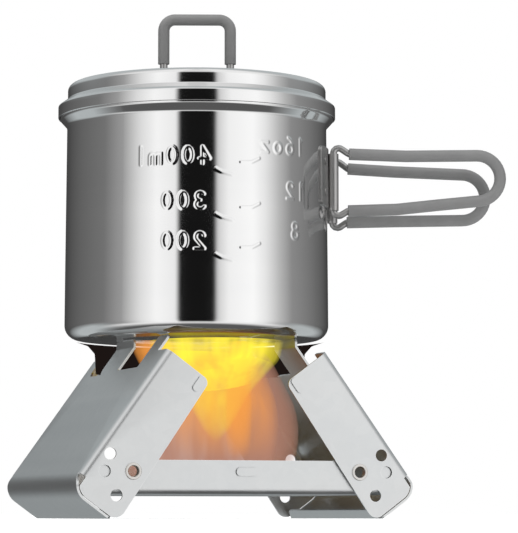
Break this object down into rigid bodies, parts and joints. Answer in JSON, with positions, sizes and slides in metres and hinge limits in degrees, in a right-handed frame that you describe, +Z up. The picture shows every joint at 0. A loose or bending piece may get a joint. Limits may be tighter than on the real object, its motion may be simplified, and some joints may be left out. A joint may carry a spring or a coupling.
{
  "type": "folding solid-fuel pocket stove with lidded pot",
  "caption": "Folding sheet-metal pocket stove in its A-shaped cooking position, with a lidded steel pot that has folding wire handles.",
  "frame": {"origin": "middle of the stove on the plane the feet stand on, halfway between the four rivets", "axes": "+X to the right along the tray towards the right leg, +Y away from the front side panels, +Z up"},
  "size_m": [0.1606, 0.0992, 0.1807],
  "materials": {
    "galvanised_sheet": "satin galvanised sheet",
    "rivet_steel": "satin",
    "fuel": "matt pressed tablet",
    "polished_steel": "mirror-polished stainless steel",
    "satin_steel": "satin stainless steel",
    "grip_sleeve": "matt silicone"
  },
  "bodies": {
    "stove": {"tray": "galvanised_sheet", "rivet_front_left": "rivet_steel", "rivet_rear_left": "rivet_steel", "rivet_front_right": "rivet_steel", "rivet_rear_right": "rivet_steel", "fuel_tablets": "fuel"},
    "left_leg": {"left_leg": "galvanised_sheet"},
    "right_leg": {"right_leg": "galvanised_sheet"},
    "pot": {"pot_body": "polished_steel", "handle_bracket": "satin_steel", "bracket_welds": "satin_steel"},
    "front_handle": {"front_handle_wire": "satin_steel", "front_handle_sleeve": "grip_sleeve"},
    "rear_handle": {"rear_handle_wire": "satin_steel", "rear_handle_sleeve": "grip_sleeve"},
    "lid": {"lid_shell": "polished_steel", "lid_bracket": "satin_steel", "lid_bracket_welds": "satin_steel"},
    "bail": {"bail_wire": "satin_steel", "bail_sleeve": "grip_sleeve"}
  },
  "joints": [
    {"name": "left_leg_fold", "type": "hinge", "parent": "stove", "child": "left_leg", "pos_m": [-0.0408, 0, 0.01593], "axis": [0, 1, 0], "range_deg": [0, 54]},
    {"name": "right_leg_fold", "type": "hinge", "parent": "stove", "child": "right_leg", "pos_m": [0.0408, 0, 0.01593], "axis": [0, -1, 0], "range_deg": [0, 54]},
    {"name": "pot_lift", "type": "slide", "parent": "stove", "child": "pot", "axis": [0, 0, 1], "range_m": [0, 0.12]},
    {"name": "front_handle_fold", "type": "hinge", "parent": "pot", "child": "front_handle", "pos_m": [0.04138, -0.01967, 0.1204], "axis": [0, 0, 1], "range_deg": [-90, 0]},
    {"name": "rear_handle_fold", "type": "hinge", "parent": "pot", "child": "rear_handle", "pos_m": [0.04423, -0.01113, 0.1167], "axis": [0, 0, 1], "range_deg": [0, 90]},
    {"name": "lid_lift", "type": "slide", "parent": "pot", "child": "lid", "axis": [0, 0, 1], "range_m": [0, 0.06]},
    {"name": "bail_fold", "type": "hinge", "parent": "lid", "child": "bail", "pos_m": [-0.0035, 0, 0.1589], "axis": [0.9489, -0.3156, 0], "range_deg": [-88, 88]}
  ]
}
